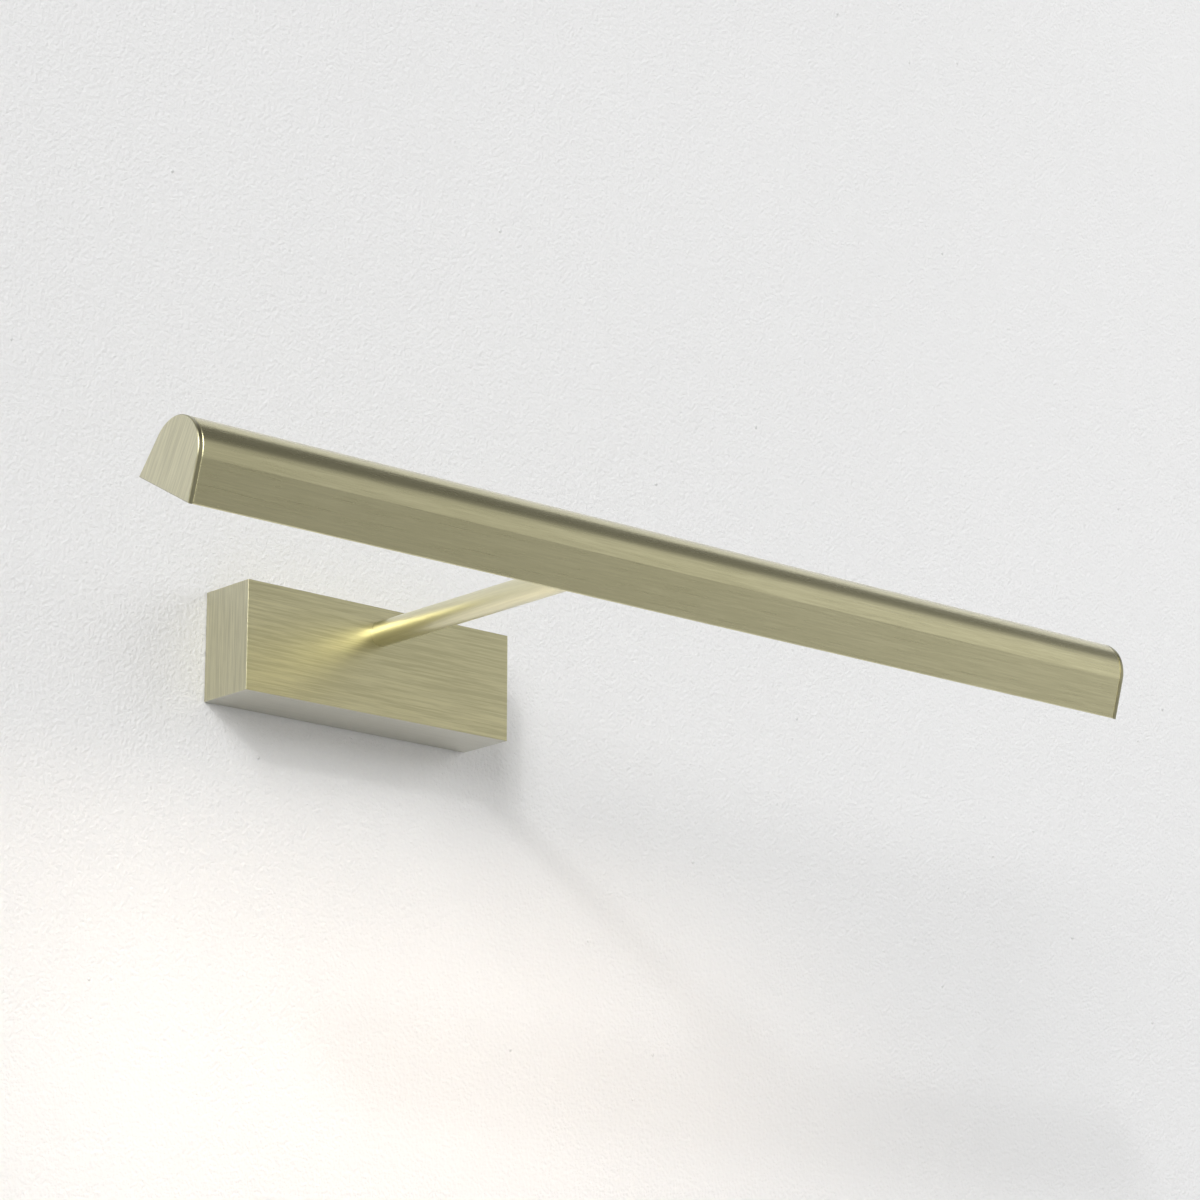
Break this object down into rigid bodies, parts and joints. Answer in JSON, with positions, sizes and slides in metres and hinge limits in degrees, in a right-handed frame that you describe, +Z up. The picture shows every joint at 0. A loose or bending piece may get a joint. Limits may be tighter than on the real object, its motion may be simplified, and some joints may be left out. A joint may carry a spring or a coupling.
{
  "type": "picture light",
  "caption": "Wall-mounted picture light: a long arched LED head tilts on a friction pivot at the end of a straight arm that stands out from a slim box on the wall.",
  "frame": {"origin": "centre of the wall box's back face, on the wall plane", "axes": "+X along the head, +Y into the wall (the light stands out along -Y), +Z up"},
  "size_m": [0.4, 0.1918, 0.0406],
  "materials": {
    "shade_brass": "satin brushed along the head",
    "cap_brass": "satin brushed",
    "cover_brass": "satin brushed along X",
    "arm_brass": "satin",
    "fitting_brass": "satin",
    "contact_brass": "turned",
    "tinned_contact": "tinned",
    "galvanised_steel": "galvanised",
    "zinc_screw": "zinc plated",
    "black_plastic": "moulded",
    "black_rubber": "moulded",
    "driver_plastic": "moulded",
    "terminal_plastic": "moulded",
    "washer_nylon": "moulded",
    "circuit_board": "lacquered",
    "ferrite": "sintered",
    "copper_winding": "enamelled copper wire",
    "capacitor_sleeve": "shrink sleeve",
    "live_insulation": "brown insulation",
    "neutral_insulation": "blue insulation",
    "earth_insulation": "green and yellow insulation",
    "lead_sheath": "white sheath",
    "carrier_aluminium": "mill finish",
    "led_board_white": "white solder mask",
    "led_phosphor": "phosphor",
    "opal_diffuser": "opal"
  },
  "bodies": {
    "wall_unit": {"back_plate": "galvanised_steel", "wall_box_cover": "cover_brass", "cover_screws": "fitting_brass", "cable_bush": "black_plastic", "terminal_block": "terminal_plastic", "terminal_clamps": "contact_brass", "terminal_screws": "zinc_screw", "earth_stud": "zinc_screw", "earth_tag": "tinned_contact", "earth_washer": "zinc_screw", "earth_nut": "zinc_screw", "driver_case_base": "driver_plastic", "driver_case_lid": "driver_plastic", "driver_circuit_board": "circuit_board", "transformer_core": "ferrite", "transformer_winding": "copper_winding", "driver_capacitors": "capacitor_sleeve", "driver_screws": "zinc_screw", "live_wire": "live_insulation", "neutral_wire": "neutral_insulation", "earth_wire": "earth_insulation", "arm_backing_plate": "galvanised_steel", "arm_lock_washer": "zinc_screw", "arm_nut": "contact_brass", "arm_tube": "arm_brass", "arm_lead_bush": "black_plastic", "arm_knuckle": "fitting_brass", "pivot_screw": "fitting_brass", "pivot_bush": "fitting_brass", "friction_washers": "washer_nylon", "spring_washers": "zinc_screw", "arm_lead": "lead_sheath"},
    "head": {"head_fork": "fitting_brass", "wire_cover": "fitting_brass", "wire_cover_screw": "fitting_brass", "fork_backing_plate": "galvanised_steel", "fork_screws": "fitting_brass", "lead_sleeve": "black_rubber", "head_lead": "lead_sheath", "head_shade": "shade_brass", "end_cap_left": "cap_brass", "end_cap_right": "cap_brass", "diffuser": "opal_diffuser", "led_carrier": "carrier_aluminium", "led_board": "led_board_white", "led_chips": "led_phosphor", "board_screws": "zinc_screw", "board_connector": "terminal_plastic"}
  },
  "joints": [
    {"name": "head_tilt", "type": "hinge", "parent": "wall_unit", "child": "head", "pos_m": [0, -0.162, 0.01], "axis": [1, 0, 0], "range_deg": [-28.5, 31.5]}
  ]
}
